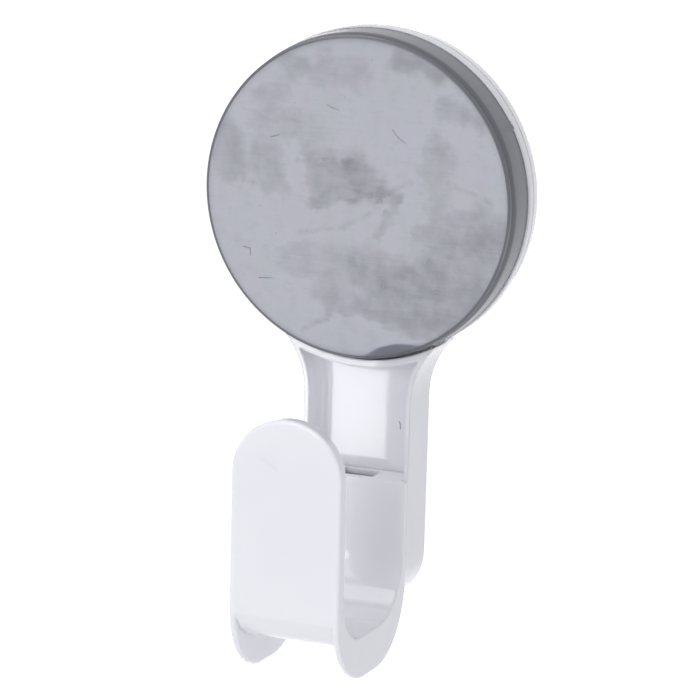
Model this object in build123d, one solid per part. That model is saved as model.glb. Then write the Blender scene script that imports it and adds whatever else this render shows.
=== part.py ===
"""Suction cup hook, modelled as it comes apart on a bench.

The flat grey suction pad looks along -Y, the hook opens upwards on the same side,
and +Z is up as the hook is used. The origin is the centre of the pad's sealing face.
All sizes are in millimetres.
"""
import os
from math import cos, hypot, radians, sin, sqrt, tan

from build123d import *

# Suction pad: a thick soft cap with a thin sealing lip
face_radius = 45.2
lip_reach = 0.95
lip_fall = 0.4
lip_edge = 0.3
groove_depth = 0.75
groove_width = 0.5
flare_length = 2.8
band_step = 0.45
pad_depth = 12.9
face_wall = 3.3
skirt_wall = 3.2
stud_radius = 6.2
stud_head_radius = 9.0
stud_head_length = 3.0
stud_head_slope = 1.6

# White housing: round dish, drum inside the pad, and neck
rim_step = 0.5
rim_round = 0.35
dish_depth = 3.2
housing_wall = 1.8
flare_radius = 24.3
neck_half_width = 16.25
neck_end_height = -104.9
neck_wall_depth = 4.4
neck_back_round = 0.8
neck_rim_front = 4.95
neck_rim_wall = 1.45
bridge_clearance = 0.9
bridge_wall = 2.15
horn_tip_wall = 0.35
pocket_step = 1.0
pocket_floor_round = 2.6
drum_rib_count = 6
drum_rib_thickness = 1.5
drum_rib_height = 6.0

# Back cover: a round lid, and a tongue that lies inside the neck's walls
lid_depth = 5.6
tongue_recess = 0.2
tongue_skirt = 1.2
cover_wall = 1.8
lid_draft = 8.0
lid_edge_round = 1.3
parting_groove_width = 0.3
parting_groove_depth = 0.25
spigot_wall = 1.2
spigot_depth = 1.2

# Hook: a tall front plate that leans out, a curved web between two flanges, and a hollow insert
hook_side_step = 0.25
plate_front = -45.7
plate_lean = 1.1
plate_thickness = 3.9
plate_arc_height = -70.8
back_plate_thickness = 2.95
ledge_height = -81.2
gap_bottom = -118.7
gap_front_round = 13.7
gap_back_round = 16.0
web_thickness = 2.1
web_root = 0.8
web_front_round = 16.2
bend_height = -111.55
flange_thickness = 2.0
flange_bottom = -131.2
flange_front_round = 21.5
flange_back_round = 21.0
hook_edge_round = 0.75
flange_inner_round = 1.0
gap_edge_round = 0.5
insert_wall = 1.8
insert_back_gap = 2.05
ledge_corner_round = 3.2
slot_half_width = 5.5
slot_back_wall = 1.8
boss_radius = 3.5
boss_bore_depth = 7.0

# Screws that hold the hook's insert in the neck
screw_shank_radius = 1.45
screw_length = 8.5
screw_head_radius = 2.8
screw_head_height = 2.0
screw_recess_width = 0.8
screw_recess_length = 3.2
screw_recess_depth = 1.1
upper_screw_drop = 9.8
lower_screw_drop = 3.1

# Clearances
soft_clearance = 0.3
insert_clearance = 0.3
spigot_clearance = 0.2
screw_clearance = 0.25
pilot_clearance = 0.05

# Sizes that follow from those above
lip_radius = face_radius + lip_reach
band_radius = lip_radius + band_step
dish_radius = band_radius + rim_step
bridge_inner_radius = dish_radius + bridge_clearance - rim_step
bridge_outer_radius = bridge_inner_radius + bridge_wall
drum_radius = band_radius - skirt_wall - soft_clearance
drum_front = face_wall + soft_clearance
stud_head_front = drum_front + housing_wall + soft_clearance
parting = pad_depth + dish_depth
pocket_floor = pad_depth + pocket_step
lid_back = parting + lid_depth
neck_back = parting + neck_wall_depth
tongue_back = neck_back - tongue_recess
tongue_inset = neck_rim_wall + spigot_clearance
back_plate_back = neck_rim_front
back_plate_front = back_plate_back - back_plate_thickness
insert_half_width = neck_half_width - neck_rim_wall - insert_clearance
hook_half_width = neck_half_width + hook_side_step
hook_top = plate_arc_height + hook_half_width
lean_sin = sin(radians(plate_lean))
lean_cos = cos(radians(plate_lean))
screw_heights = (ledge_height - upper_screw_drop, neck_end_height - lower_screw_drop)


def along_y(outline, start, end):
    """A straight prism of an outline drawn in the XZ plane, from one depth to another."""
    return extrude(Pos(0, start, 0) * outline, amount=end - start, dir=(0, 1, 0))


def across_x(outline, half_width):
    """A straight prism of an outline drawn in the YZ plane, to both sides of its middle."""
    return extrude(outline, amount=half_width, dir=(1, 0, 0), both=True)


def round_bar(radius, start, end, x=0, z=0):
    """A round bar along Y between two depths."""
    disc = Pos(x, 0, z) * (Plane.XZ * Circle(radius))
    return along_y(disc, start, end)


def block(x_from, x_to, y_from, y_to, z_from, z_to):
    """A plain block between two corners."""
    centre = Pos((x_from + x_to) / 2, (y_from + y_to) / 2, (z_from + z_to) / 2)
    return centre * Box(x_to - x_from, y_to - y_from, z_to - z_from)


def neck_outline(inset=0.0):
    """The neck seen from the front: a flare that runs into the dish, and a round end."""
    width = neck_half_width - inset
    centre_x = neck_half_width + flare_radius
    centre_z = -sqrt((dish_radius + flare_radius) ** 2 - centre_x ** 2)
    touch = dish_radius / (dish_radius + flare_radius)
    flare_block = Polygon(
        (-centre_x * touch, centre_z * touch),
        (-centre_x, centre_z),
        (centre_x, centre_z),
        (centre_x * touch, centre_z * touch),
        align=None,
    )
    for side in (-1, 1):
        flare_block -= Pos(side * centre_x, centre_z) * Circle(flare_radius + inset)
    strap = Pos(0, (centre_z + neck_end_height) / 2) * Rectangle(2 * width, centre_z - neck_end_height)
    strap += Pos(0, neck_end_height) * Circle(width)
    return Plane.XZ * (flare_block + strap)


def horn_tip():
    """Half the width at which the flare has thinned to the wall left at its tips."""
    radius = bridge_inner_radius + horn_tip_wall
    centre_x = neck_half_width + flare_radius
    centre_z = -sqrt((dish_radius + flare_radius) ** 2 - centre_x ** 2)
    span = hypot(centre_x, centre_z)
    reach = (span ** 2 + radius ** 2 - flare_radius ** 2) / (2 * span)
    offset = sqrt(radius ** 2 - reach ** 2)
    return (reach * centre_x - offset * -centre_z) / span


def full_disc(radius):
    return Plane.XZ * Circle(radius)


def make_suction_pad():
    """One soft moulding: flat face, thin lip, grooved skirt and a stud that snaps into the drum."""
    groove_radius = lip_radius - groove_depth
    lip_back = lip_fall + lip_edge
    groove_back = lip_back + groove_width
    band_start = groove_back + flare_length
    outline = Polyline((0, 0), (face_radius, 0))
    outline += TangentArc((face_radius, 0), (lip_radius, lip_fall), tangent=(1, 0))
    outline += Polyline(
        (lip_radius, lip_fall),
        (lip_radius, lip_back),
        (groove_radius, lip_back),
        (groove_radius, groove_back),
    )
    outline += Spline(
        (groove_radius, groove_back),
        (band_radius, band_start),
        tangents=((0.35, 1.0), (0.0, 1.0)),
    )
    inner_radius = band_radius - skirt_wall
    head_back = stud_head_front + stud_head_length
    outline += Polyline(
        (band_radius, band_start),
        (band_radius, pad_depth),
        (inner_radius, pad_depth),
        (inner_radius, face_wall),
        (stud_radius, face_wall),
        (stud_radius, stud_head_front),
        (stud_head_radius, stud_head_front),
        (stud_head_radius - stud_head_slope, head_back),
        (0, head_back),
        (0, 0),
    )
    return revolve(make_face(Plane.XY * outline), Axis.Y)


def make_body_shell():
    """The white housing: dish, drum that backs the pad, and a neck with an open pocket."""
    dish = round_bar(dish_radius, pad_depth, parting)
    front_edges = dish.edges().filter_by_position(Axis.Y, pad_depth, pad_depth)
    rim = fillet(front_edges, rim_round) + along_y(neck_outline(), pad_depth, parting)
    tip = horn_tip()
    horns = along_y(neck_outline() - full_disc(bridge_inner_radius), neck_rim_front, pad_depth)
    horns &= block(-tip, tip, neck_rim_front, pad_depth, neck_end_height - neck_half_width, 0)
    drum = round_bar(drum_radius, drum_front, pad_depth)
    walls = along_y(neck_outline() - full_disc(dish_radius + spigot_clearance), parting, neck_back)
    walls &= block(-tip, tip, parting, neck_back, neck_end_height - neck_half_width, 0)

    def is_outer(edge):
        middle = edge @ 0.5
        beyond_lid = hypot(middle.X, middle.Z) > dish_radius + 2 * spigot_clearance
        inside_tips = abs(middle.X) < tip - 0.01
        return abs(middle.Y - neck_back) < 0.01 and beyond_lid and inside_tips

    walls = fillet([edge for edge in walls.edges() if is_outer(edge)], neck_back_round)
    walls -= along_y(neck_outline(neck_rim_wall), parting, neck_back)
    shell = rim + horns + drum + walls

    pocket = along_y(neck_outline(neck_rim_wall) - full_disc(bridge_outer_radius), 0, pocket_floor)
    floor_edges = pocket.edges().filter_by_position(Axis.Y, pocket_floor, pocket_floor)
    shell -= fillet(floor_edges, pocket_floor_round)

    drum_inner = drum_radius - housing_wall
    cavity = round_bar(drum_inner, drum_front + housing_wall, parting)
    cavity += round_bar(dish_radius - housing_wall, pad_depth + housing_wall, parting)
    shell -= cavity
    rib_start = drum_front + housing_wall
    rib = block(stud_head_radius + 1, drum_inner, rib_start, rib_start + drum_rib_height,
                -drum_rib_thickness / 2, drum_rib_thickness / 2)
    for index in range(drum_rib_count):
        shell += Rot(0, index * 360 / drum_rib_count, 0) * rib
    shell -= round_bar(stud_radius + soft_clearance, 0, parting)
    for height in screw_heights:
        shell -= round_bar(screw_shank_radius + screw_clearance, 0, parting + 1, z=height)
    return shell


def make_back_cover():
    """The closed back: a drafted round lid, and a tongue let into the back of the neck."""
    groove_end = parting + parting_groove_width
    draft = (lid_depth - lid_edge_round) * tan(radians(lid_draft))
    back_radius = dish_radius - draft
    side_end = lid_back - lid_edge_round
    groove_radius = dish_radius - parting_groove_depth
    lid_outline = Polyline((0, parting), (groove_radius, parting), (groove_radius, groove_end),
                           (dish_radius, groove_end), (back_radius, side_end))
    lid_outline += ThreePointArc(
        (back_radius, side_end),
        (back_radius - lid_edge_round * (1 - cos(radians(45))),
         side_end + lid_edge_round * sin(radians(45))),
        (back_radius - lid_edge_round, lid_back),
    )
    lid_outline += Polyline((back_radius - lid_edge_round, lid_back), (0, lid_back), (0, parting))
    cover = revolve(make_face(Plane.XY * lid_outline), Axis.Y)

    hollow_radius = dish_radius - housing_wall
    tongue_outline = neck_outline(tongue_inset) - full_disc(hollow_radius)
    tongue_hollow = neck_outline(tongue_inset + tongue_skirt) - full_disc(dish_radius)
    tongue = along_y(tongue_outline, parting, tongue_back)
    cover += tongue - along_y(tongue_hollow, parting, tongue_back - cover_wall)

    cover -= round_bar(hollow_radius, parting, lid_back - cover_wall)
    spigot_radius = hollow_radius - spigot_clearance
    spigot = round_bar(spigot_radius, parting - spigot_depth, lid_back - cover_wall)
    spigot -= round_bar(spigot_radius - spigot_wall, parting - spigot_depth, lid_back - cover_wall)
    return cover + spigot


def plate_depth(inset, height):
    """Depth of a face of the leaning plate, that far inside its front face, at a height."""
    return plate_front + (inset - lean_sin * (height - bend_height)) / lean_cos


def lean_round(inset, radius, low):
    """Where a round is tangent to a face of the leaning plate, and the depth of its centre."""
    centre_height = low + radius
    centre_depth = plate_depth(inset + radius, centre_height)
    touch = (centre_depth - radius * lean_cos, centre_height - radius * lean_sin)
    return touch, centre_depth


def hook_side_outline():
    """The hook seen from the side, filled in: leaning front, straight back, curved below."""
    touch, front_centre = lean_round(0, flange_front_round, flange_bottom)
    back_centre = back_plate_back - flange_back_round
    back_height = flange_bottom + flange_back_round
    outline = Polyline((back_plate_back, back_height), (back_plate_back, hook_top),
                       (plate_depth(0, hook_top), hook_top), touch)
    outline += RadiusArc(touch, (front_centre, flange_bottom), -flange_front_round)
    outline += Line((front_centre, flange_bottom), (back_centre, flange_bottom))
    outline += RadiusArc((back_centre, flange_bottom), (back_plate_back, back_height), -flange_back_round)
    return Plane.YZ * make_face(outline)


def gap_outline():
    """The open space that the hook holds things in, with the room above its back plate."""
    touch, front_centre = lean_round(plate_thickness, gap_front_round, gap_bottom)
    back = back_plate_front
    top = hook_top + 1
    outline = Polyline(touch, (plate_depth(plate_thickness, top), top), (back_plate_back + 1, top),
                       (back_plate_back + 1, ledge_height), (back, ledge_height),
                       (back, gap_bottom + gap_back_round))
    outline += RadiusArc((back, gap_bottom + gap_back_round), (back - gap_back_round, gap_bottom),
                         gap_back_round)
    outline += Line((back - gap_back_round, gap_bottom), (front_centre, gap_bottom))
    outline += RadiusArc((front_centre, gap_bottom), touch, gap_front_round)
    return Plane.YZ * make_face(outline)


def channel_outline():
    """What is open between the flanges, under the web."""
    web_bottom = gap_bottom - web_thickness
    front_drop = bend_height - web_bottom
    front_run = sqrt(web_front_round ** 2 - (web_front_round - front_drop) ** 2)
    back_round = gap_back_round + web_thickness + web_root
    root_back = back_plate_back + web_root
    low = flange_bottom - 1
    outline = Polyline((plate_front + front_run, web_bottom), (root_back - back_round, web_bottom))
    outline += RadiusArc((root_back - back_round, web_bottom), (root_back, web_bottom + back_round), -back_round)
    outline += Polyline((root_back, web_bottom + back_round), (root_back, low), (plate_front - 1, low),
                        (plate_front - 1, bend_height), (plate_front, bend_height))
    outline += RadiusArc((plate_front, bend_height), (plate_front + front_run, web_bottom), -web_front_round)
    return Plane.YZ * make_face(outline)


def make_hook():
    """The white hook, one moulding with the hollow insert that fills the neck's pocket."""
    front_outline = Pos(0, plate_arc_height) * Circle(hook_half_width)
    front_outline += Pos(0, (plate_arc_height + flange_bottom) / 2) * Rectangle(
        2 * hook_half_width, plate_arc_height - flange_bottom)
    strap = across_x(hook_side_outline(), hook_half_width)
    strap &= along_y(Plane.XZ * front_outline, plate_depth(0, hook_top) - 1, back_plate_back)

    def is_outer(edge):
        middle = edge @ 0.5
        on_side = abs(abs(middle.X) - hook_half_width) < 0.01
        on_front = abs(middle.Y - plate_depth(0, middle.Z)) < 0.01 and middle.Z > plate_arc_height
        return (on_side and middle.Y < back_plate_back - 0.01) or on_front

    outer_edges = [edge for edge in strap.edges() if is_outer(edge)]
    strap = fillet(outer_edges, hook_edge_round)
    strap -= across_x(gap_outline(), hook_half_width + 1)

    def is_inner(edge):
        middle = edge @ 0.5
        plate_inside = plate_depth(plate_thickness, middle.Z) - 0.01
        inside = plate_inside < middle.Y < back_plate_front + 0.01
        return inside and abs(middle.X) > 0.1 and middle.Z > gap_bottom - 0.01

    inner_edges = [edge for edge in strap.edges() if is_inner(edge)]
    strap = fillet(inner_edges, gap_edge_round)
    web_half_width = hook_half_width - flange_thickness
    strap -= across_x(channel_outline(), web_half_width)
    front_centre = lean_round(0, flange_front_round, flange_bottom)[1]
    back_centre = back_plate_back - flange_back_round

    def is_flange_rim(edge):
        middle = edge @ 0.5
        front_reach = hypot(middle.Y - front_centre, middle.Z - flange_bottom - flange_front_round)
        back_reach = hypot(middle.Y - back_centre, middle.Z - flange_bottom - flange_back_round)
        on_front = abs(front_reach - flange_front_round) < 0.01 and middle.Y < front_centre
        on_back = abs(back_reach - flange_back_round) < 0.01 and middle.Y > back_centre
        on_rim = on_front or on_back or abs(middle.Z - flange_bottom) < 0.01
        return on_rim and abs(abs(middle.X) - web_half_width) < 0.01

    strap = fillet([edge for edge in strap.edges() if is_flange_rim(edge)], flange_inner_round)

    insert_outline = Pos(0, (ledge_height + neck_end_height) / 2) * Rectangle(
        2 * insert_half_width, ledge_height - neck_end_height)
    insert_outline += Pos(0, neck_end_height) * Circle(insert_half_width)
    hollow_width = insert_half_width - insert_wall
    hollow_outline = Pos(0, (ledge_height - insert_wall + neck_end_height) / 2) * Rectangle(
        2 * hollow_width, ledge_height - insert_wall - neck_end_height)
    hollow_outline += Pos(0, neck_end_height) * Circle(hollow_width)
    insert_back = pocket_floor - insert_back_gap
    insert = along_y(Plane.XZ * insert_outline, back_plate_back, insert_back)
    insert -= along_y(Plane.XZ * hollow_outline, back_plate_back + insert_wall, insert_back)
    web_leaves = gap_bottom + gap_back_round
    insert -= along_y(Plane.XZ * hollow_outline, back_plate_back, insert_back) & block(
        -hollow_width, hollow_width, back_plate_back, insert_back, web_leaves, ledge_height)

    ledge_back = pocket_floor - insert_clearance
    ledge_plan = Rectangle(2 * insert_half_width, ledge_back - back_plate_back)
    ledge_plan = fillet(ledge_plan.vertices().group_by(Axis.Y)[-1], ledge_corner_round)
    ledge_plan = Pos(0, (ledge_back + back_plate_back) / 2) * ledge_plan
    ledge = extrude(Pos(0, 0, ledge_height) * ledge_plan, amount=-insert_wall)
    hook = strap + insert + ledge
    hook -= block(-slot_half_width, slot_half_width, back_plate_back, ledge_back - slot_back_wall,
                  ledge_height - insert_wall, ledge_height + 1)

    for height in screw_heights:
        hook += round_bar(boss_radius, back_plate_back, pocket_floor, z=height)
        hook -= round_bar(screw_shank_radius + pilot_clearance,
                          pocket_floor - boss_bore_depth, pocket_floor, z=height)
    return hook


def make_hook_screws():
    """Two pan-head screws, driven from inside the housing into the hook's bosses."""
    screws = []
    for height in screw_heights:
        screw = round_bar(screw_shank_radius, parting - screw_length, parting, z=height)
        head = round_bar(screw_head_radius, parting, parting + screw_head_height, z=height)
        head = fillet(head.edges().filter_by_position(Axis.Y, parting + screw_head_height,
                                                      parting + screw_head_height), screw_recess_width)
        screw += head
        top = parting + screw_head_height
        half = screw_recess_width / 2
        reach = screw_recess_length / 2
        screw -= block(-half, half, top - screw_recess_depth, top, height - reach, height + reach)
        screw -= block(-reach, reach, top - screw_recess_depth, top, height - half, height + half)
        screws.append(screw)
    return Compound(children=screws)


os.makedirs("parts", exist_ok=True)
nodes = {
    "suction_pad": make_suction_pad(),
    "body_shell": make_body_shell(),
    "back_cover": make_back_cover(),
    "hook": make_hook(),
    "hook_screws": make_hook_screws(),
}
for name, solid in nodes.items():
    export_step(solid, os.path.join("parts", name + ".step"))
    print(name, "volume", round(solid.volume, 1))
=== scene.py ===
"""Finishes, stage and camera for the suction cup hook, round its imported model."""
import math

import bpy
from bpy.props import FloatProperty, FloatVectorProperty, PointerProperty
from mathutils import Matrix, Vector


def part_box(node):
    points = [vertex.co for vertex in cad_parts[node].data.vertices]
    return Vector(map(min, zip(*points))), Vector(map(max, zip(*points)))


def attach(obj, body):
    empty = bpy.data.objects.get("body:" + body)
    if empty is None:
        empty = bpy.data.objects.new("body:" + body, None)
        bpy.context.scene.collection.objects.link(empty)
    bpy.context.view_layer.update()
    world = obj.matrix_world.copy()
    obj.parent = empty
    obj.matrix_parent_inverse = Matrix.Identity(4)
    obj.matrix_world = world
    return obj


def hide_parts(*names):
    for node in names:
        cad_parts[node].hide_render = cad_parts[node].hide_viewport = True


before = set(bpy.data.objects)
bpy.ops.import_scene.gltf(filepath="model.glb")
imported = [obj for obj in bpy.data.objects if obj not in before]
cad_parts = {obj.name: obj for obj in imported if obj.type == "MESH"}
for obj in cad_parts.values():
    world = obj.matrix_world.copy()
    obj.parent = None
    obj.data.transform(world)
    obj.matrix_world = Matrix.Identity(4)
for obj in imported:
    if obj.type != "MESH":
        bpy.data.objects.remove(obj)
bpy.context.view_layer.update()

bl_info = {
    "name": "Suction cup hook",
    "version": (1, 0, 0),
    "blender": (4, 5, 0),
    "location": "3D View > Sidebar > Suction Hook",
    "description": "Builds the finishes of a suction cup hook and the studio round it",
    "category": "Object",
}

MM = 0.001
WHITE = (1.0, 1.0, 1.0)
pad_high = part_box("suction_pad")[1]


# Marks seen on the object: the X and Z of each stroke's ends, in millimetres

PAD_TICKS = (
    ((-9.5, 25.7), (-7.8, 25.0)),
    ((-7.8, 25.0), (-6.0, 24.6)),
    ((10.3, 20.6), (12.1, 18.5)),
    ((12.1, 18.5), (14.2, 17.1)),
    ((-26.4, 15.0), (-24.0, 15.8)),
    ((-34.2, -17.4), (-31.9, -17.7)),
    ((-31.9, -17.7), (-31.8, -19.8)),
    ((-29.0, -26.0), (-25.1, -25.6)),
)
PAD_SPECKS = (
    ((3.3, 39.6), (3.4, 39.5)),
    ((15.9, 38.0), (16.0, 38.0)),
    ((40.7, 16.5), (40.8, 16.4)),
    ((-24.1, -12.5), (-24.0, -12.5)),
    ((-29.2, -5.1), (-29.1, -5.1)),
    ((-19.6, 25.4), (-19.5, 25.4)),
    ((-4.3, 28.4), (-4.2, 28.4)),
    ((8.7, -2.7), (8.8, -2.8)),
)
PAD_SMEARS = (
    ((-16.1, -11.2), (-3.6, -8.7)),
    ((-3.6, -8.7), (5.6, -3.0)),
    ((5.6, -3.0), (9.9, 3.0)),
    ((9.9, 3.0), (16.3, 6.1)),
    ((27.6, 7.1), (33.1, 5.0)),
    ((33.1, 5.0), (40.7, 2.9)),
    ((-15.2, -39.6), (-7.0, -34.7)),
    ((-34.3, 1.8), (-30.8, 1.2)),
    ((-18.1, 9.0), (-7.0, 10.4)),
    ((-13.8, 8.1), (-1.4, 10.3)),
)
PAD_HAIRLINES = (
    ((7.7, 6.4), (10.2, 2.1)),
    ((10.2, 2.1), (11.8, -2.4)),
    ((3.6, 37.2), (4.8, 28.9)),
    ((4.8, 28.9), (7.0, 16.1)),
    ((7.0, 16.1), (8.0, 7.1)),
    ((-0.1, 33.9), (10.9, 34.9)),
)

# Clouds in the haze of the pad's face: start, end, half width, fade (all in millimetres), strength. The
# dark clouds at the lower right are also painted shade: they darken the face where the mirrored soft
# light fades.
# Noise moves their edges about, at a scale and by a reach in millimetres.

CLOUD_WOBBLES = ((90.0, 13.0), (380.0, 3.5))
# The dark clouds at the lower right are painted shade, darkening the face where the mirrored light
# fades
PAD_DARK_CLOUDS_AND_SHADE = (
    ((-14.0, 10.0), (-4.0, 10.0), 1.6, 4.9, 0.42),
    ((0.4, 7.7), (5.1, 4.8), 1.6, 4.6, 0.72),
    ((-11.9, -1.3), (-0.2, 1.6), 0.8, 2.7, 0.64),
    ((-11.7, 4.5), (-1.7, 4.8), 1.4, 4.2, 0.47),
    ((0.6, 1.0), (13.4, 2.0), 0.6, 2.7, 0.47),
    ((7.7, -9.1), (12.7, 0.2), 0.8, 2.3, 0.38),
    ((23.8, 16.1), (23.6, 3.3), 1.0, 5.7, 0.38),
    ((28.7, 27.9), (35.1, 24.5), 1.4, 4.9, 0.38),
    ((11.4, 40.3), (21.4, 37.2), 1.0, 4.6, 0.51),
    ((-12.6, 34.7), (0.2, 35.2), 1.0, 4.9, 0.24),
    ((-23.5, 38.4), (-18.4, 36.2), 1.1, 4.2, 0.30),
    ((-28.2, 27.2), (-23.9, 28.9), 1.2, 4.6, 0.32),
    ((-30.2, 20.2), (-12.1, 17.9), 1.1, 4.9, 0.26),
    ((-42.3, 14.3), (-37.0, 6.7), 1.7, 5.7, 0.42),
    ((-28.1, 11.0), (-24.6, 1.1), 1.6, 4.9, 0.41),
    ((18.6, -7.3), (43.2, -4.7), 1.8, 6.1, 0.42),
    ((12.0, -21.8), (21.9, -21.1), 1.9, 6.8, 0.72),
    ((26.7, -15.2), (39.9, -9.7), 2.0, 6.8, 0.42),
    ((19.5, -33.5), (34.8, -25.1), 2.0, 6.8, 0.59),
    ((3.3, -18.3), (9.5, -31.9), 2.0, 6.5, 0.44),
    ((-18.2, -18.6), (-2.3, -20.3), 1.3, 6.5, 0.31),
    ((-9.3, -29.2), (0.9, -32.2), 1.3, 5.7, 0.36),
    ((38.7, -16.6), (40.3, -21.8), 1.0, 4.9, 0.34),
)
PAD_PALE_CLOUDS = (
    ((13.0, -9.9), (20.4, 4.4), 0.7, 3.8, 0.51),
    ((31.8, 18.9), (42.0, 9.2), 1.5, 6.6, 0.51),
    ((-3.9, -39.6), (5.4, -37.8), 1.0, 4.8, 0.59),
    ((-27.4, -27.8), (-13.4, -34.5), 1.4, 5.7, 0.51),
    ((-37.3, -9.7), (-20.6, -10.0), 1.8, 5.7, 0.51),
    ((-19.1, 12.5), (-17.4, 2.5), 0.4, 3.0, 0.42),
    ((7.0, -43.8), (24.0, -42.0), 1.0, 2.0, 0.9),
)
NECK_MARKS = (
    ((9.7, -66.6), (10.0, -67.5)),
    ((10.0, -67.5), (10.0, -68.6)),
)
PLATE_SCRATCH = (
    ((-7.4, -65.8), (-5.6, -67.2)),
    ((-5.6, -67.2), (-3.2, -68.3)),
)

# Depths of the surfaces that carry marks, and how far on either side of the face's edge the haze fades

NECK_FLOOR = 13.9 * MM
PLATE_FRONT = -46.55 * MM
HAZE_FADE = 0.04 * MM

# The bend at the face's lower edge, which turns a strip of it away from the light. The strip lies
# under three lines, each given by a point in millimetres and a slope; it takes the lip along.

BEND_LINES = ((4.8, -44.5, 0.65), (8.5, -42.2, 0.33), (12.8, -40.8, 0.06))
BEND_SLOPE = 0.04
BEND_MARGIN = 0.1 * MM

# Small tabs of flash on the pad's rear rim: angle and width in degrees, height in millimetres

RIM_TABS = ((28.4, 0.7, 0.55), (30.1, 0.6, 0.3))
TAB_REACH = 0.6 * MM

# The pad's hidden inside: the skirt, the back of the face, and the stud with its head

SKIRT_RADIUS = 43.4 * MM
FACE_BACK = 3.3 * MM
STUD_RADIUS = 6.2 * MM
HEAD_RADIUS = 9.0 * MM
HEAD_TIP_RADIUS = 7.4 * MM
HEAD_FRONT = 5.7 * MM
HEAD_BACK = 8.7 * MM

# Fineness of the pad's mesh

PAD_STEPS = 512
FACE_RINGS = 90
LIP_RINGS = 6
FLARE_RINGS = 10

# Where the rounding of the lip starts, and how steep an edge has to be to look sharp, in degrees

LIP_START = -88.0
SHARP_ANGLE = 38.0

# Rounding of the mouldings' edges, and depth of their waviness, which only the shading shows

EDGE_ROUND = 0.9 * MM
PAD_WAVE_DEPTH = 0.05 * MM
PLASTIC_WAVE_DEPTH = 0.04 * MM

# The camera fitted to the photograph: angles in degrees, lens and aim in pixels of the picture

IMAGE_WIDTH = 700
IMAGE_HEIGHT = 700
CAMERA_AZIMUTH = 21.672
CAMERA_ELEVATION = 11.380
CAMERA_ROLL = -1.702
CAMERA_DISTANCE = 1.5323
FOCAL_PIXELS = 5449.751
AIM_U = 357.801
AIM_V = 197.533
AIM_DEPTH = 0.9 * MM
SENSOR_WIDTH = 36.0

# The ways from the pad's centre to the lights

CARD_WAY = (-0.362, -0.911, -0.197)
TOP_WAY = (-0.5, -0.35, 0.8)
FRONT_WAY = (-0.2, -0.95, 0.3)
SIDE_WAY = (0.85, -0.45, -0.4)
EDGE_WAY = (0.8, 0.55, 0.0)
BACK_WAY = (-0.4, 0.9, -0.12)

# Where a Mix node keeps its factor, its two colours and the colour that it puts out

MIX_FACTOR = 0
MIX_FIRST = 6
MIX_SECOND = 7
MIX_RESULT = 2

# The studio's sweep: a floor that bends up into a backdrop

SWEEP_HALF_WIDTH = 8.0
SWEEP_FRONT = -5.0
SWEEP_BACK = 7.0
SWEEP_BEND = 1.5
SWEEP_HEIGHT = 6.0
SWEEP_STEPS = 16


# Sizes and colours that a user may change

class PadSettings(bpy.types.PropertyGroup):
    """The suction pad's form and finish."""

    dome_height: FloatProperty(
        name="Dome height", description="How far the middle of the face stands out",
        default=0.5 * MM, min=0.0, max=2 * MM, unit="LENGTH", subtype="DISTANCE", precision=5)
    face_radius: FloatProperty(
        name="Face radius", description="Radius of the flat sealing face",
        default=45.2 * MM, unit="LENGTH", subtype="DISTANCE", precision=5)
    lip_radius: FloatProperty(
        name="Lip radius", description="Radius of the thin lip's edge",
        default=46.15 * MM, unit="LENGTH", subtype="DISTANCE", precision=5)
    lip_fall: FloatProperty(
        name="Lip fall", description="How far the lip's edge lies behind the face",
        default=0.4 * MM, unit="LENGTH", subtype="DISTANCE", precision=5)
    lip_edge: FloatProperty(
        name="Lip edge", description="Thickness of the lip at its edge",
        default=0.3 * MM, unit="LENGTH", subtype="DISTANCE", precision=5)
    groove_depth: FloatProperty(
        name="Groove depth", description="How far the groove behind the lip is cut in",
        default=0.75 * MM, unit="LENGTH", subtype="DISTANCE", precision=5)
    groove_width: FloatProperty(
        name="Groove width", description="Width of the groove behind the lip",
        default=0.5 * MM, unit="LENGTH", subtype="DISTANCE", precision=5)
    flare_length: FloatProperty(
        name="Flare length", description="Length of the curve from the groove to the band",
        default=2.8 * MM, unit="LENGTH", subtype="DISTANCE", precision=5)
    colour: FloatVectorProperty(
        name="Pad colour", description="Colour of the soft grey plastic",
        default=(0.115, 0.120, 0.142), size=3, min=0.0, max=1.0, subtype="COLOR")
    haze: FloatVectorProperty(
        name="Haze", description="Colour of the pale haze on the polished face",
        default=(0.166, 0.177, 0.236), size=3, min=0.0, max=1.0, subtype="COLOR")
    haze_violet: FloatVectorProperty(
        name="Violet haze", description="Tint of the haze's violet stretches",
        default=(0.172, 0.167, 0.231), size=3, min=0.0, max=1.0, subtype="COLOR")
    haze_green: FloatVectorProperty(
        name="Green haze", description="Tint of the haze's green stretches",
        default=(0.156, 0.177, 0.217), size=3, min=0.0, max=1.0, subtype="COLOR")
    mark_colour: FloatVectorProperty(
        name="Mark colour", description="Colour of the small dark marks",
        default=(0.055, 0.056, 0.062), size=3, min=0.0, max=1.0, subtype="COLOR")
    roughness: FloatProperty(
        name="Roughness", description="Roughness of the polished face",
        default=0.09, min=0.0, max=1.0, subtype="FACTOR")
    side_roughness: FloatProperty(
        name="Side roughness", description="Roughness of the pad's sides behind the lip",
        default=0.26, min=0.0, max=1.0, subtype="FACTOR")


class PlasticSettings(bpy.types.PropertyGroup):
    """The white plastic of the shell, cover and hook."""

    colour: FloatVectorProperty(
        name="White", description="Colour of the white plastic",
        default=(0.87, 0.87, 0.905), size=3, min=0.0, max=1.0, subtype="COLOR")
    shade: FloatVectorProperty(
        name="Shade", description="Colour of its slightly duller patches",
        default=(0.85, 0.855, 0.89), size=3, min=0.0, max=1.0, subtype="COLOR")
    mark_colour: FloatVectorProperty(
        name="Mark colour", description="Colour of small dark marks",
        default=(0.10, 0.10, 0.11), size=3, min=0.0, max=1.0, subtype="COLOR")
    roughness: FloatProperty(
        name="Roughness", description="Roughness of the glossy moulding",
        default=0.07, min=0.0, max=1.0, subtype="FACTOR")


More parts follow.
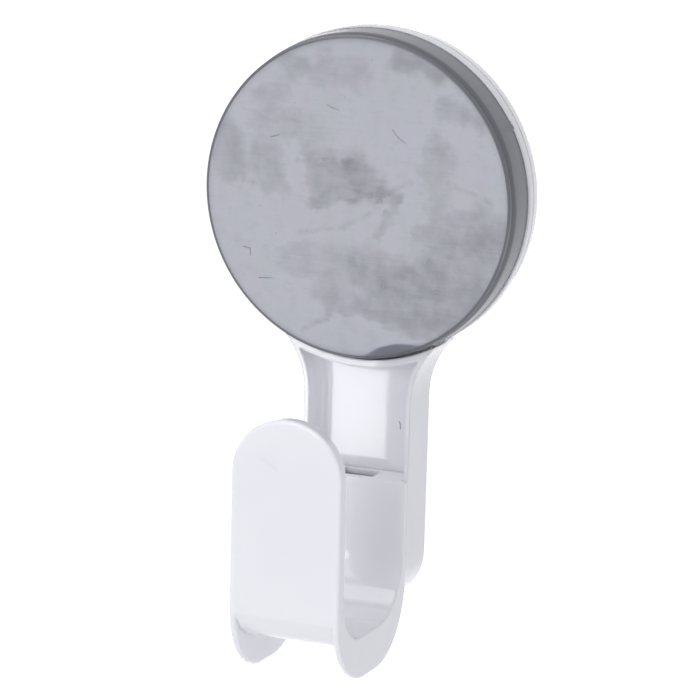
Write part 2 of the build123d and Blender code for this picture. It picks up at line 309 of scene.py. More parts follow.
class ScrewSettings(bpy.types.PropertyGroup):
    """The plated screws."""

    colour: FloatVectorProperty(
        name="Steel", description="Colour of the plated steel",
        default=(0.52, 0.52, 0.54), size=3, min=0.0, max=1.0, subtype="COLOR")
    roughness: FloatProperty(
        name="Roughness", description="Roughness of the plating",
        default=0.32, min=0.0, max=1.0, subtype="FACTOR")


class StageSettings(bpy.types.PropertyGroup):
    """Floor, lights and camera."""

    floor_drop: FloatProperty(
        name="Floor drop", description="How far the floor lies under the pad's centre",
        default=0.65, unit="LENGTH", subtype="DISTANCE")
    floor_colour: FloatVectorProperty(
        name="Floor colour", description="Colour of the floor and backdrop",
        default=(0.86, 0.86, 0.87), size=3, min=0.0, max=1.0, subtype="COLOR")
    floor_lift: FloatProperty(
        name="Floor lift", description="Glow that brings the floor up to white for the camera alone",
        default=0.62, min=0.0, max=1.0)
    card_distance: FloatProperty(
        name="Card distance", description="How far the mirrored soft light stands off",
        default=1.3, unit="LENGTH", subtype="DISTANCE")
    card_width: FloatProperty(
        name="Card width", description="Width of the soft light that the pad's face mirrors",
        default=0.42, unit="LENGTH", subtype="DISTANCE")
    card_height: FloatProperty(
        name="Card height", description="Height of the soft light that the pad's face mirrors",
        default=0.33, unit="LENGTH", subtype="DISTANCE")
    card_power: FloatProperty(
        name="Card power", description="Power of the soft light that the pad's face mirrors",
        default=2.15, unit="POWER")
    top_distance: FloatProperty(
        name="Top light distance", description="How far the soft light from above stands off",
        default=1.5, unit="LENGTH", subtype="DISTANCE")
    top_size: FloatProperty(
        name="Top light size", description="Side of the soft light from above",
        default=0.9, unit="LENGTH", subtype="DISTANCE")
    top_power: FloatProperty(
        name="Top light power", description="Power of the soft light from above",
        default=5.5, unit="POWER")
    front_distance: FloatProperty(
        name="Front light distance", description="How far the soft light from the front stands off",
        default=1.5, unit="LENGTH", subtype="DISTANCE")
    front_size: FloatProperty(
        name="Front light size", description="Side of the soft light from the front",
        default=0.9, unit="LENGTH", subtype="DISTANCE")
    front_power: FloatProperty(
        name="Front light power", description="Power of the soft light from the front",
        default=3.9, unit="POWER")
    side_distance: FloatProperty(
        name="Side light distance", description="How far the soft light from the right stands off",
        default=1.2, unit="LENGTH", subtype="DISTANCE")
    side_size: FloatProperty(
        name="Side light size", description="Side of the soft light from the right",
        default=0.5, unit="LENGTH", subtype="DISTANCE")
    side_power: FloatProperty(
        name="Side light power", description="Power of the soft light from the right",
        default=1.35, unit="POWER")
    edge_distance: FloatProperty(
        name="Edge light distance", description="How far the small light at the right edge stands off",
        default=1.5, unit="LENGTH", subtype="DISTANCE")
    edge_size: FloatProperty(
        name="Edge light size", description="Side of the small light at the right edge",
        default=0.4, unit="LENGTH", subtype="DISTANCE")
    edge_power: FloatProperty(
        name="Edge light power", description="Power of the small light at the right edge",
        default=0.7, unit="POWER")
    back_distance: FloatProperty(
        name="Back light distance", description="How far the soft light from behind stands off",
        default=1.5, unit="LENGTH", subtype="DISTANCE")
    back_size: FloatProperty(
        name="Back light size", description="Side of the soft light from behind",
        default=0.6, unit="LENGTH", subtype="DISTANCE")
    back_power: FloatProperty(
        name="Back light power", description="Power of the soft light from behind",
        default=1.8, unit="POWER")
    fill: FloatProperty(
        name="Fill", description="Strength of the even light from all round",
        default=0.56, min=0.0, max=2.0)
    fill_colour: FloatVectorProperty(
        name="Fill colour", description="Colour of the even light from all round",
        default=(0.950, 0.948, 1.0), size=3, min=0.0, max=1.0, subtype="COLOR")


# Mesh helpers

def turned_mesh(name, profile, steps):
    """A closed mesh turned about the Y axis from (radius, depth) points that start and end on it."""
    vertices = [(0.0, profile[0][1], 0.0)]
    rings = profile[1:-1]
    for radius, depth in rings:
        for step in range(steps):
            angle = 2 * math.pi * step / steps
            vertices.append((radius * math.cos(angle), depth, radius * math.sin(angle)))
    vertices.append((0.0, profile[-1][1], 0.0))
    last = len(vertices) - 1
    faces = []
    for step in range(steps):
        after = (step + 1) % steps
        faces.append((0, 1 + step, 1 + after))
        for ring in range(len(rings) - 1):
            low = 1 + ring * steps
            high = low + steps
            faces.append((low + step, high + step, high + after, low + after))
        end = 1 + (len(rings) - 1) * steps
        faces.append((end + step, last, end + after))
    mesh = bpy.data.meshes.new(name)
    mesh.from_pydata(vertices, [], faces)
    mesh.validate()
    return mesh


def arc_points(centre, radius, start, end, count):
    """Points on an arc in (radius, depth) space between two angles in degrees."""
    points = []
    for index in range(count + 1):
        angle = math.radians(start + (end - start) * index / count)
        points.append((centre[0] + radius * math.cos(angle), centre[1] + radius * math.sin(angle)))
    return points


def hermite_points(start, start_slope, end, end_slope, count):
    """Points on a smooth curve between two points with given slopes, ends included."""
    points = []
    for index in range(count + 1):
        share = index / count
        weights = (2 * share ** 3 - 3 * share ** 2 + 1, share ** 3 - 2 * share ** 2 + share,
                   3 * share ** 2 - 2 * share ** 3, share ** 3 - share ** 2)
        points.append(tuple(sum(weight * value for weight, value in zip(weights, values))
                            for values in zip(start, start_slope, end, end_slope)))
    return points


def link_object(name, data):
    """A new object with its mesh, light or camera data, put in the scene."""
    item = bpy.data.objects.new(name, data)
    bpy.context.scene.collection.objects.link(item)
    return item


# Shader helpers

def add_node(tree, kind, **values):
    """A node of a kind, with its settings and its input values by name."""
    node = tree.nodes.new(kind)
    for key, value in values.items():
        if key in node.inputs:
            node.inputs[key].default_value = value
        else:
            setattr(node, key, value)
    return node


def math_node(tree, operation, first, second=None, clamp=False):
    """A math node fed by sockets or numbers; returns its output."""
    node = tree.nodes.new("ShaderNodeMath")
    node.operation = operation
    node.use_clamp = clamp
    for index, value in enumerate((first, second)):
        if isinstance(value, bpy.types.NodeSocket):
            tree.links.new(value, node.inputs[index])
        elif value is not None:
            node.inputs[index].default_value = value
    return node.outputs[0]


def mix_colours(tree, factor, first, second):
    """Mix two colours, each a socket or a plain colour; returns the mixed colour's socket."""
    node = tree.nodes.new("ShaderNodeMix")
    node.data_type = "RGBA"
    for index, value in ((MIX_FACTOR, factor), (MIX_FIRST, first), (MIX_SECOND, second)):
        if isinstance(value, bpy.types.NodeSocket):
            tree.links.new(value, node.inputs[index])
        elif index == MIX_FACTOR:
            node.inputs[index].default_value = value
        else:
            node.inputs[index].default_value = (*value, 1.0)
    return node.outputs[MIX_RESULT]


def map_range(tree, value, low, high, to_low=0.0, to_high=1.0):
    """A smooth map from one range to another; returns its output."""
    node = tree.nodes.new("ShaderNodeMapRange")
    node.interpolation_type = "SMOOTHSTEP"
    tree.links.new(value, node.inputs["Value"])
    node.inputs["From Min"].default_value = low
    node.inputs["From Max"].default_value = high
    node.inputs["To Min"].default_value = to_low
    node.inputs["To Max"].default_value = to_high
    return node.outputs["Result"]


def noise(tree, vector, scale, detail=2.0, roughness=0.5, distortion=0.0):
    """A noise texture; returns its grey output."""
    node = add_node(tree, "ShaderNodeTexNoise", Scale=scale, Detail=detail, Roughness=roughness,
                    Distortion=distortion)
    tree.links.new(vector, node.inputs["Vector"])
    return node.outputs["Fac"]


def new_group(name, inputs, outputs):
    """An empty shader node group with named inputs and outputs."""
    group = bpy.data.node_groups.new(name, "ShaderNodeTree")
    for title, kind, value in inputs:
        made = group.interface.new_socket(name=title, in_out="INPUT", socket_type=kind)
        if value is not None:
            made.default_value = value
    for title, kind in outputs:
        group.interface.new_socket(name=title, in_out="OUTPUT", socket_type=kind)
    return group, group.nodes.new("NodeGroupInput"), group.nodes.new("NodeGroupOutput")


def stroke_group():
    """A mask that is 1 along a straight stroke and fades at its sides."""
    name = "Stroke mark"
    if name in bpy.data.node_groups:
        return bpy.data.node_groups[name]
    group, source, sink = new_group(
        name,
        (("Point", "NodeSocketVector", None), ("Start", "NodeSocketVector", None),
         ("End", "NodeSocketVector", None), ("Half width", "NodeSocketFloat", 0.0002),
         ("Fade", "NodeSocketFloat", 0.0002)),
        (("Mask", "NodeSocketFloat"),))

    def vector_math(operation, first, second=None):
        node = group.nodes.new("ShaderNodeVectorMath")
        node.operation = operation
        group.links.new(first, node.inputs[0])
        if second is not None:
            group.links.new(second, node.inputs[1])
        return node

    along = vector_math("SUBTRACT", source.outputs["End"], source.outputs["Start"]).outputs[0]
    offset = vector_math("SUBTRACT", source.outputs["Point"], source.outputs["Start"]).outputs[0]
    reach = vector_math("DOT_PRODUCT", offset, along).outputs["Value"]
    length = vector_math("DOT_PRODUCT", along, along).outputs["Value"]
    share = math_node(group, "DIVIDE", reach, length, clamp=True)
    scaled = group.nodes.new("ShaderNodeVectorMath")
    scaled.operation = "SCALE"
    group.links.new(along, scaled.inputs[0])
    group.links.new(share, scaled.inputs["Scale"])
    beside = vector_math("SUBTRACT", offset, scaled.outputs[0]).outputs[0]
    distance = vector_math("LENGTH", beside).outputs["Value"]
    past = math_node(group, "SUBTRACT", distance, source.outputs["Half width"])
    fall = add_node(group, "ShaderNodeMapRange", interpolation_type="SMOOTHSTEP")
    fall.inputs["To Min"].default_value = 1.0
    fall.inputs["To Max"].default_value = 0.0
    group.links.new(past, fall.inputs["Value"])
    group.links.new(source.outputs["Fade"], fall.inputs["From Max"])
    group.links.new(fall.outputs["Result"], sink.inputs["Mask"])
    return group


def moulding_group():
    """The surface of a glossy moulding: dull patches, fine hairlines and a slight waviness."""
    name = "Moulded surface"
    if name in bpy.data.node_groups:
        return bpy.data.node_groups[name]
    group, source, sink = new_group(
        name,
        (("Point", "NodeSocketVector", None), ("Patch scale", "NodeSocketFloat", 30.0),
         ("Hairline scale", "NodeSocketFloat", 500.0), ("Wave scale", "NodeSocketFloat", 90.0)),
        (("Patches", "NodeSocketFloat"), ("Hairlines", "NodeSocketFloat"),
         ("Waviness", "NodeSocketFloat")))
    point = source.outputs["Point"]
    patches = add_node(group, "ShaderNodeTexNoise", Detail=3.0, Roughness=0.55)
    group.links.new(point, patches.inputs["Vector"])
    group.links.new(source.outputs["Patch scale"], patches.inputs["Scale"])
    stretch = group.nodes.new("ShaderNodeMapping")
    stretch.inputs["Rotation"].default_value = (0.3, 0.5, 0.2)
    stretch.inputs["Scale"].default_value = (1.0, 0.03, 0.05)
    group.links.new(point, stretch.inputs["Vector"])
    hairlines = add_node(group, "ShaderNodeTexNoise", Detail=4.0, Roughness=0.7)
    group.links.new(stretch.outputs[0], hairlines.inputs["Vector"])
    group.links.new(source.outputs["Hairline scale"], hairlines.inputs["Scale"])
    waves = add_node(group, "ShaderNodeTexNoise", Detail=1.0, Roughness=0.4)
    group.links.new(point, waves.inputs["Vector"])
    group.links.new(source.outputs["Wave scale"], waves.inputs["Scale"])
    group.links.new(map_range(group, patches.outputs["Fac"], 0.35, 0.7), sink.inputs["Patches"])
    group.links.new(map_range(group, hairlines.outputs["Fac"], 0.6, 0.75), sink.inputs["Hairlines"])
    group.links.new(waves.outputs["Fac"], sink.inputs["Waviness"])
    return group


def use_group(tree, group, **values):
    """A node group placed in a tree, with its inputs linked or set by name."""
    node = tree.nodes.new("ShaderNodeGroup")
    node.node_tree = group
    for key, value in values.items():
        title = key.replace("_", " ")
        if isinstance(value, bpy.types.NodeSocket):
            tree.links.new(value, node.inputs[title])
        else:
            node.inputs[title].default_value = value
    return node


def new_material(name):
    """A material with its tree, Principled shader and object-space point."""
    material = bpy.data.materials.new(name)
    material.use_nodes = True
    tree = material.node_tree
    shader = tree.nodes["Principled BSDF"]
    point = tree.nodes.new("ShaderNodeTexCoord").outputs["Object"]
    return material, tree, shader, point


def stroke_masks(tree, point, strokes, depth, half_width, fade):
    """One mask for several strokes drawn at a depth, given by their X and Z ends in millimetres."""
    total = 0.0
    for start, end in strokes:
        node = use_group(tree, stroke_group(), Point=point,
                         Start=(start[0] * MM, depth, start[1] * MM),
                         End=(end[0] * MM, depth, end[1] * MM),
                         Half_width=half_width, Fade=fade)
        total = math_node(tree, "MAXIMUM", total, node.outputs["Mask"])
    return total


def cloud_mask(tree, point, clouds):
    """The clouds' masks added up, each with its own width, fade and strength."""
    total = 0.0
    for start, end, half_width, fade, strength in clouds:
        mask = stroke_masks(tree, point, ((start, end),), 0.0, half_width * MM, fade * MM)
        total = math_node(tree, "ADD", total, math_node(tree, "MULTIPLY", mask, strength))
    return total


def shifted_point(tree, point, scale, reach):
    """The point moved about by noise, up to half the reach each way, within the face's plane."""
    wobble = add_node(tree, "ShaderNodeTexNoise", Scale=scale, Detail=4.0, Roughness=0.6)
    tree.links.new(point, wobble.inputs["Vector"])
    moved = add_node(tree, "ShaderNodeVectorMath", operation="MULTIPLY_ADD")
    moved.inputs[1].default_value = (reach, 0.0, reach)
    tree.links.new(wobble.outputs["Color"], moved.inputs[0])
    tree.links.new(point, moved.inputs[2])
    centred = add_node(tree, "ShaderNodeVectorMath", operation="SUBTRACT")
    centred.inputs[1].default_value = (reach / 2, 0.0, reach / 2)
    tree.links.new(moved.outputs[0], centred.inputs[0])
    return centred.outputs[0]


def pad_clouds(tree, point):
    """How dark the haze is: clouds under a soft limit, those at the lower right painted shade for the
    fading mirrored light, a fine mottle and level wiping marks.
    """
    cloud_point = point
    for scale, reach in CLOUD_WOBBLES:
        cloud_point = shifted_point(tree, cloud_point, scale, reach * MM)
    # The dark clouds include painted shade at the lower right, where the mirrored light fades
    dark = cloud_mask(tree, cloud_point, PAD_DARK_CLOUDS_AND_SHADE)
    pale = cloud_mask(tree, cloud_point, PAD_PALE_CLOUDS)
    dark = math_node(tree, "SUBTRACT", dark, pale)
    dark = math_node(tree, "MAXIMUM", dark, 0.0)
    raised = math_node(tree, "MULTIPLY", dark, 1.15)
    dark = math_node(tree, "DIVIDE", raised, math_node(tree, "ADD", dark, 0.7))
    spots = noise(tree, point, scale=230.0, detail=6.0, roughness=0.65)
    mottle = map_range(tree, spots, 0.3, 0.7, to_low=-0.14, to_high=0.15)
    dark = math_node(tree, "ADD", dark, mottle)
    stretch = add_node(tree, "ShaderNodeMapping")
    stretch.inputs["Rotation"].default_value = (0.0, 0.12, 0.0)
    stretch.inputs["Scale"].default_value = (0.07, 1.0, 1.0)
    tree.links.new(point, stretch.inputs["Vector"])
    streaks = noise(tree, stretch.outputs[0], scale=1500.0, detail=2.0, roughness=0.6)
    wiping = map_range(tree, streaks, 0.3, 0.7, to_low=-0.07, to_high=0.07)
    return math_node(tree, "ADD", dark, wiping, clamp=True)


def pad_smears(tree, point):
    """The broken smears across the face."""
    smear_point = shifted_point(tree, point, scale=220.0, reach=2.5 * MM)
    smears = stroke_masks(tree, smear_point, PAD_SMEARS, 0.0, half_width=0.0, fade=1.4 * MM)
    breaks = noise(tree, point, scale=420.0, detail=3.0, roughness=0.6)
    return math_node(tree, "MULTIPLY", smears, map_range(tree, breaks, 0.35, 0.65, to_low=0.2))


def pad_marks(tree, point):
    """The sharp dark ticks and specks on the face."""
    ticks = stroke_masks(tree, point, PAD_TICKS, 0.0, half_width=0.03 * MM, fade=0.2 * MM)
    specks = stroke_masks(tree, point, PAD_SPECKS, 0.0, half_width=0.03 * MM, fade=0.25 * MM)
    return math_node(tree, "MAXIMUM", math_node(tree, "MULTIPLY", ticks, 0.8),
                     math_node(tree, "MULTIPLY", specks, 0.5))


def pad_material(settings):
    """Soft grey glossy plastic; on its face a cloudy haze with painted shade at its lower right, ticks,
    smears and hairlines.
    """
    material, tree, shader, point = new_material("Grey pad")
    surface = use_group(tree, moulding_group(), Point=point, Patch_scale=55.0,
                        Hairline_scale=700.0, Wave_scale=60.0)
    # The marks are drawn on the plane Y = 0, so the point is flattened onto it
    flat = add_node(tree, "ShaderNodeVectorMath", operation="MULTIPLY")
    flat.inputs[1].default_value = (1.0, 0.0, 1.0)
    tree.links.new(point, flat.inputs[0])
    flat_point = flat.outputs[0]
    parts = tree.nodes.new("ShaderNodeSeparateXYZ")
    tree.links.new(point, parts.inputs[0])
    on_face = map_range(tree, parts.outputs["Y"], -HAZE_FADE, HAZE_FADE, 1.0, 0.0)

    dark = pad_clouds(tree, flat_point)
    smears = pad_smears(tree, flat_point)
    marks = math_node(tree, "MULTIPLY", pad_marks(tree, flat_point), on_face)
    lines = stroke_masks(tree, flat_point, PAD_HAIRLINES, 0.0, half_width=0.02 * MM, fade=0.2 * MM)

    violet = noise(tree, flat_point, scale=60.0, detail=3.0, roughness=0.55, distortion=0.6)
    green = noise(tree, flat_point, scale=75.0, detail=3.0, roughness=0.5, distortion=0.8)
    haze = mix_colours(tree, map_range(tree, violet, 0.42, 0.68), settings.haze, settings.haze_violet)
    haze = mix_colours(tree, map_range(tree, green, 0.45, 0.7), haze, settings.haze_green)
    haze = mix_colours(tree, dark, haze, settings.colour)
    haze = mix_colours(tree, math_node(tree, "MULTIPLY", smears, 0.6), haze, settings.colour)
    colour = mix_colours(tree, on_face, settings.colour, haze)
    colour = mix_colours(tree, marks, colour, settings.mark_colour)
    tree.links.new(colour, shader.inputs["Base Color"])

    rough = math_node(tree, "MULTIPLY", surface.outputs["Hairlines"], 0.04)
    for mask, share in ((dark, 0.24), (smears, 0.06), (marks, 0.3), (lines, 0.06)):
        rough = math_node(tree, "ADD", rough, math_node(tree, "MULTIPLY", mask, share))
    rough = math_node(tree, "ADD", rough, settings.roughness - settings.side_roughness)
    rough = math_node(tree, "MULTIPLY", rough, on_face)
    rough = math_node(tree, "ADD", rough, settings.side_roughness)
    tree.links.new(rough, shader.inputs["Roughness"])
    bump = add_node(tree, "ShaderNodeBump", Strength=0.25, Distance=PAD_WAVE_DEPTH)
    tree.links.new(surface.outputs["Waviness"], bump.inputs["Height"])
    tree.links.new(bump.outputs["Normal"], shader.inputs["Normal"])
    shader.inputs["IOR"].default_value = 1.6
    return material


def plastic_material(name, settings, noise_shift, strokes=(), depth=0.0, width=0.0, strength=0.0,
                     draft=0.0):
    """White glossy moulded plastic, with one piece's small marks and the draft that its gloss shows."""
    material, tree, shader, point = new_material(name)
    shift = add_node(tree, "ShaderNodeMapping")
    shift.inputs["Location"].default_value = (noise_shift, noise_shift, 0.0)
    tree.links.new(point, shift.inputs["Vector"])
    surface = use_group(tree, moulding_group(), Point=shift.outputs[0], Patch_scale=28.0,
                        Hairline_scale=600.0, Wave_scale=110.0)
    colour = mix_colours(tree, surface.outputs["Patches"], settings.colour, settings.shade)
    if strokes:
        marks = stroke_masks(tree, point, strokes, depth, half_width=0.0, fade=width)
        marks = math_node(tree, "MULTIPLY", marks, strength)
        colour = mix_colours(tree, marks, colour, settings.mark_colour)
    tree.links.new(colour, shader.inputs["Base Color"])
    rough = math_node(tree, "MULTIPLY", surface.outputs["Hairlines"], 0.06)
    rough = math_node(tree, "ADD", rough, settings.roughness)
    tree.links.new(rough, shader.inputs["Roughness"])

    normal = add_node(tree, "ShaderNodeBevel", Radius=EDGE_ROUND).outputs["Normal"]
    if draft:
        parts = tree.nodes.new("ShaderNodeSeparateXYZ")
        tree.links.new(point, parts.inputs[0])
        lean = add_node(tree, "ShaderNodeBump", Strength=1.0, Distance=1.0)
        tree.links.new(math_node(tree, "MULTIPLY", parts.outputs["Z"], draft), lean.inputs["Height"])
        tree.links.new(normal, lean.inputs["Normal"])
        normal = lean.outputs["Normal"]
    bump = add_node(tree, "ShaderNodeBump", Strength=0.2, Distance=PLASTIC_WAVE_DEPTH)
    tree.links.new(surface.outputs["Waviness"], bump.inputs["Height"])
    tree.links.new(normal, bump.inputs["Normal"])
    tree.links.new(bump.outputs["Normal"], shader.inputs["Normal"])
    shader.inputs["IOR"].default_value = 1.5
    shader.inputs["Subsurface Weight"].default_value = 0.3
    shader.inputs["Subsurface Radius"].default_value = (1.0, 1.0, 1.0)
    shader.inputs["Subsurface Scale"].default_value = 1.5 * MM
    return material


def steel_material(settings):
    """Plated steel with fine turning marks."""
    material, tree, shader, point = new_material("Screw steel")
    surface = use_group(tree, moulding_group(), Point=point, Patch_scale=300.0,
                        Hairline_scale=2500.0, Wave_scale=900.0)
    colour = mix_colours(tree, surface.outputs["Patches"], settings.colour,
                         tuple(0.85 * channel for channel in settings.colour))
    tree.links.new(colour, shader.inputs["Base Color"])
    rough = math_node(tree, "MULTIPLY", surface.outputs["Hairlines"], 0.12)
    rough = math_node(tree, "ADD", rough, settings.roughness)
    tree.links.new(rough, shader.inputs["Roughness"])
    shader.inputs["Metallic"].default_value = 1.0
    return material


def give_material(node_name, material):
    """Puts one material in all the slots of a CAD node."""
    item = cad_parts[node_name]
    if not item.material_slots:
        item.data.materials.append(material)
    for slot in item.material_slots:
        slot.material = material


# The pieces

def pad_profile(settings):
    """Half of the pad's section as (radius, depth) points, from the face's middle to the stud's."""
    face = settings.face_radius
    profile = []
    for index in range(FACE_RINGS + 1):
        share = index / FACE_RINGS
        profile.append((face * share, -settings.dome_height * (1 - share ** 2)))
    reach = settings.lip_radius - face
    fall = settings.lip_fall
    lip_round = (reach ** 2 + fall ** 2) / (2 * fall)
    lip_end = math.degrees(math.asin(reach / lip_round)) - 90
    profile += arc_points((face, lip_round), lip_round, LIP_START, lip_end, LIP_RINGS)
    lip_back = fall + settings.lip_edge
    groove = settings.lip_radius - settings.groove_depth
    groove_back = lip_back + settings.groove_width
    band_radius = pad_high.x
    band_start = groove_back + settings.flare_length
    depth = pad_high.y
    profile += [(settings.lip_radius, lip_back), (groove, lip_back)]
    profile += hermite_points((groove, groove_back), (1.0 * MM, settings.flare_length),
                              (band_radius, band_start), (0.0, settings.flare_length), FLARE_RINGS)
    profile += [(band_radius, (band_start + depth) / 2), (band_radius, depth)]
    profile += [(SKIRT_RADIUS, depth), (SKIRT_RADIUS, FACE_BACK), (STUD_RADIUS, FACE_BACK),
                (STUD_RADIUS, HEAD_FRONT), (HEAD_RADIUS, HEAD_FRONT), (HEAD_TIP_RADIUS, HEAD_BACK),
                (0.0, HEAD_BACK)]
    return profile


def bend_face_edge(mesh, last_depth):
    """Bends the strip at the face's lower edge back, as far behind the face as the lip reaches."""
    for vertex in mesh.vertices:
        place = vertex.co
        line_height = min(z * MM + slope * (place.x - x * MM) for x, z, slope in BEND_LINES)
        below = line_height - place.z
        if below > 0 and place.y < last_depth:
            place.y += BEND_SLOPE * below


def add_rim_tabs(mesh):
    """Draws the small tabs of flash out of the pad's rear rim."""
    for vertex in mesh.vertices:
        place = vertex.co
        radius = math.hypot(place.x, place.z)
        near_rear = max(0.0, 1 - abs(place.y - pad_high.y) / TAB_REACH)
        if radius > pad_high.x - TAB_REACH and near_rear > 0:
            angle = math.degrees(math.atan2(place.z, place.x))
            height = sum(tall * MM * math.exp(-((angle - middle) / wide) ** 2)
                         for middle, wide, tall in RIM_TABS)
            stretch = 1 + height * near_rear / radius
            place.x *= stretch
            place.z *= stretch


class BuildSuctionPad(bpy.types.Operator):
    """Build the soft grey suction pad with its domed face, thin lip, groove and band."""

    bl_idname = "suction_hook.build_pad"
    bl_label = "Suction pad"

    def execute(self, context):
        settings = context.scene.hook_pad
        mesh = turned_mesh("Suction pad skin", pad_profile(settings), PAD_STEPS)
        bend_face_edge(mesh, settings.lip_fall + settings.lip_edge + BEND_MARGIN)
        add_rim_tabs(mesh)
        pad = link_object("suction_pad_skin", mesh)
        mesh.shade_smooth()
        mesh.set_sharp_from_angle(angle=math.radians(SHARP_ANGLE))
        mesh.materials.append(pad_material(settings))
        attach(pad, "root")
        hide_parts("suction_pad")
        return {"FINISHED"}


class FinishBodyShell(bpy.types.Operator):
    """Give the white body shell its glossy finish and the marks in its neck."""

    bl_idname = "suction_hook.finish_shell"
    bl_label = "Body shell"

    def execute(self, context):
        settings = context.scene.hook_plastic
        material = plastic_material("Body white", settings, noise_shift=0.1, strokes=NECK_MARKS,
                                    depth=NECK_FLOOR, width=0.3 * MM, strength=0.75)
        give_material("body_shell", material)
        return {"FINISHED"}


class FinishBackCover(bpy.types.Operator):
    """Give the back cover its glossy white finish."""

    bl_idname = "suction_hook.finish_cover"
    bl_label = "Back cover"

    def execute(self, context):
        settings = context.scene.hook_plastic
        give_material("back_cover", plastic_material("Cover white", settings, noise_shift=0.3))
        return {"FINISHED"}


class FinishHook(bpy.types.Operator):
    """Give the hook its glossy white finish and the scratch on its plate."""

    bl_idname = "suction_hook.finish_hook"
    bl_label = "Hook"

    def execute(self, context):
        settings = context.scene.hook_plastic
        material = plastic_material("Hook white", settings, noise_shift=0.5, strokes=PLATE_SCRATCH,
                                    depth=PLATE_FRONT, width=1.1 * MM, strength=0.045, draft=0.02)
        give_material("hook", material)
        return {"FINISHED"}


class FinishScrews(bpy.types.Operator):
    """Give the hidden screws their plated steel."""

    bl_idname = "suction_hook.finish_screws"
    bl_label = "Screws"

    def execute(self, context):
        give_material("hook_screws", steel_material(context.scene.hook_screws))
        return {"FINISHED"}


# The studio

def photo_camera():
    """The camera as it was fitted to the photograph: its place, axes and lens."""
    azimuth = math.radians(CAMERA_AZIMUTH)
    elevation = math.radians(CAMERA_ELEVATION)
    roll = math.radians(CAMERA_ROLL)
    back = Vector((math.sin(azimuth) * math.cos(elevation), -math.cos(azimuth) * math.cos(elevation),
                   math.sin(elevation)))
    right = Vector((math.cos(azimuth), math.sin(azimuth), 0))
    up = back.cross(right)
    rolled_right = right * math.cos(roll) - up * math.sin(roll)
    rolled_up = right * math.sin(roll) + up * math.cos(roll)
    yaw = math.atan((AIM_U - IMAGE_WIDTH / 2) / FOCAL_PIXELS)
    pitch = math.atan(-(AIM_V - IMAGE_HEIGHT / 2) / FOCAL_PIXELS * math.cos(yaw))
    camera_right = rolled_right * math.cos(yaw) - back * math.sin(yaw)
    forward = -rolled_right * math.sin(yaw) - back * math.cos(yaw)
    camera_up = rolled_up * math.cos(pitch) + forward * math.sin(pitch)
    camera_forward = -rolled_up * math.sin(pitch) + forward * math.cos(pitch)
    data = bpy.data.cameras.new("Photo camera")
    data.sensor_width = SENSOR_WIDTH
    data.lens = FOCAL_PIXELS * SENSOR_WIDTH / IMAGE_WIDTH
    data.clip_start = 0.05
    data.clip_end = 50.0
    camera = link_object("Photo camera", data)
    axes = Matrix((camera_right, camera_up, -camera_forward)).transposed()
    place = back * CAMERA_DISTANCE + Vector((0, AIM_DEPTH, 0))
    camera.matrix_world = Matrix.Translation(place) @ axes.to_4x4()
    bpy.context.scene.camera = camera


def soft_light(name, way, distance, width, height, power):
    """An area light that stands off along a way, turned to the pad's centre, unseen by the camera."""
    data = bpy.data.lights.new(name, "AREA")
    data.shape = "RECTANGLE"
    data.size = width
    data.size_y = height
    data.energy = power
    light = link_object(name, data)
    light.location = Vector(way).normalized() * distance
    light.rotation_euler = (-light.location).to_track_quat("-Z", "Y").to_euler()
    light.visible_camera = False


def background_share(tree):
    """1 for rays from the camera and for mirrored and transmitted rays, 0 for all others."""
    paths = tree.nodes.new("ShaderNodeLightPath")
    seen = math_node(tree, "MAXIMUM", paths.outputs["Is Camera Ray"], paths.outputs["Is Glossy Ray"])
    return math_node(tree, "MAXIMUM", seen, paths.outputs["Is Transmission Ray"])


def build_sweep(settings):
    """The floor and backdrop, in plain paper that the camera sees as white."""
    floor_height = -settings.floor_drop
    bend_start = SWEEP_BACK - SWEEP_BEND
    line = [(SWEEP_FRONT, floor_height), (bend_start, floor_height)]
    for index in range(1, SWEEP_STEPS + 1):
        angle = math.radians(90 * index / SWEEP_STEPS)
        line.append((bend_start + SWEEP_BEND * math.sin(angle),
                     floor_height + SWEEP_BEND * (1 - math.cos(angle))))
    line.append((SWEEP_BACK, floor_height + SWEEP_HEIGHT))
    vertices = []
    for depth, height in line:
        vertices += [(-SWEEP_HALF_WIDTH, depth, height), (SWEEP_HALF_WIDTH, depth, height)]
    faces = [(low, low + 1, low + 3, low + 2) for low in range(0, 2 * len(line) - 2, 2)]
    mesh = bpy.data.meshes.new("Studio sweep")
    mesh.from_pydata(vertices, [], faces)
    mesh.shade_smooth()
    sweep = link_object("studio_sweep", mesh)
    material, tree, shader, _ = new_material("Studio paper")
    shader.inputs["Base Color"].default_value = (*settings.floor_colour, 1.0)
    shader.inputs["Roughness"].default_value = 0.8
    shader.inputs["Specular IOR Level"].default_value = 0.0
    shader.inputs["Emission Color"].default_value = (*WHITE, 1.0)
    lift = math_node(tree, "MULTIPLY", background_share(tree), settings.floor_lift)
    tree.links.new(lift, shader.inputs["Emission Strength"])
    mesh.materials.append(material)


def build_air(settings):
    """The world: an even light on the object, and plain white behind it for the camera."""
    world = bpy.data.worlds.new("Studio air")
    world.use_nodes = True
    bpy.context.scene.world = world
    tree = world.node_tree
    background = tree.nodes["Background"]
    seen = background_share(tree)
    colour = mix_colours(tree, seen, settings.fill_colour, WHITE)
    strength = map_range(tree, seen, 0.0, 1.0, settings.fill, 1.0)
    tree.links.new(colour, background.inputs["Color"])
    tree.links.new(strength, background.inputs["Strength"])


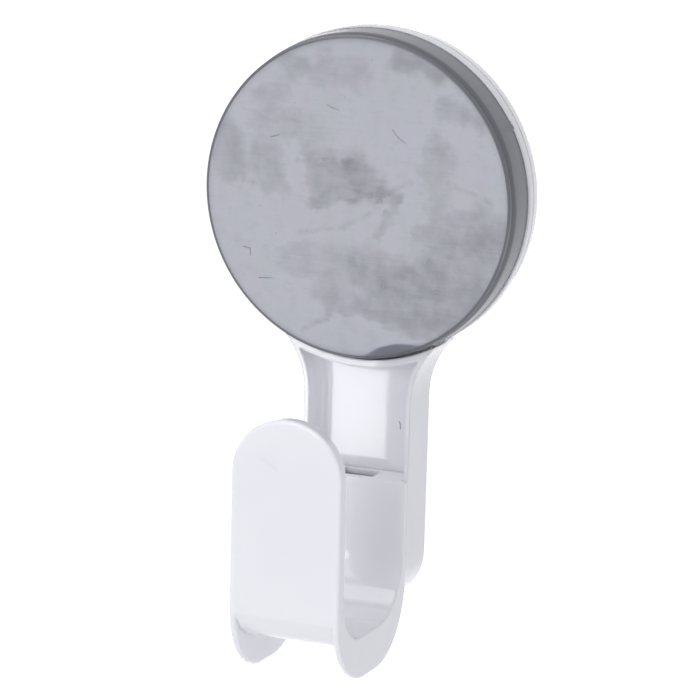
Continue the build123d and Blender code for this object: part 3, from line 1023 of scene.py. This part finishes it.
class BuildStage(bpy.types.Operator):
    """Build the pale floor and backdrop, the soft lights and the camera."""

    bl_idname = "suction_hook.build_stage"
    bl_label = "Stage"

    def execute(self, context):
        settings = context.scene.hook_stage
        build_sweep(settings)
        build_air(settings)
        soft_light("Front card", CARD_WAY, settings.card_distance, settings.card_width,
                   settings.card_height, settings.card_power)
        lights = (
            ("Top light", TOP_WAY, settings.top_distance, settings.top_size, settings.top_power),
            ("Front light", FRONT_WAY, settings.front_distance, settings.front_size,
             settings.front_power),
            ("Side light", SIDE_WAY, settings.side_distance, settings.side_size, settings.side_power),
            ("Edge light", EDGE_WAY, settings.edge_distance, settings.edge_size, settings.edge_power),
            ("Back light", BACK_WAY, settings.back_distance, settings.back_size, settings.back_power),
        )
        for name, way, distance, size, power in lights:
            soft_light(name, way, distance, size, size, power)
        context.scene.view_settings.view_transform = "Standard"
        photo_camera()
        return {"FINISHED"}


class SuctionHookPanel(bpy.types.Panel):
    """Lists the pieces and their settings."""

    bl_idname = "VIEW3D_PT_suction_hook"
    bl_label = "Suction cup hook"
    bl_space_type = "VIEW_3D"
    bl_region_type = "UI"
    bl_category = "Suction Hook"

    def draw(self, context):
        for title, group, operators in PANEL_ROWS:
            box = self.layout.box()
            box.label(text=title)
            settings = getattr(context.scene, group)
            for key in settings.__annotations__:
                box.prop(settings, key)
            for operator in operators:
                box.operator(operator.bl_idname)


PANEL_ROWS = (
    ("Pad", "hook_pad", (BuildSuctionPad,)),
    ("White plastic", "hook_plastic", (FinishBodyShell, FinishBackCover, FinishHook)),
    ("Screws", "hook_screws", (FinishScrews,)),
    ("Stage", "hook_stage", (BuildStage,)),
)
CLASSES = (PadSettings, PlasticSettings, ScrewSettings, StageSettings, BuildSuctionPad, FinishBodyShell,
           FinishBackCover, FinishHook, FinishScrews, BuildStage, SuctionHookPanel)


def register():
    for item in CLASSES:
        bpy.utils.register_class(item)
    bpy.types.Scene.hook_pad = PointerProperty(type=PadSettings)
    bpy.types.Scene.hook_plastic = PointerProperty(type=PlasticSettings)
    bpy.types.Scene.hook_screws = PointerProperty(type=ScrewSettings)
    bpy.types.Scene.hook_stage = PointerProperty(type=StageSettings)


def unregister():
    del bpy.types.Scene.hook_stage
    del bpy.types.Scene.hook_screws
    del bpy.types.Scene.hook_plastic
    del bpy.types.Scene.hook_pad
    for item in reversed(CLASSES):
        bpy.utils.unregister_class(item)


def main():
    """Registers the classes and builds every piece."""
    register()
    bpy.ops.suction_hook.build_pad()
    bpy.ops.suction_hook.finish_shell()
    bpy.ops.suction_hook.finish_cover()
    bpy.ops.suction_hook.finish_hook()
    bpy.ops.suction_hook.finish_screws()
    bpy.ops.suction_hook.build_stage()


if __name__ == "__main__":
    main()
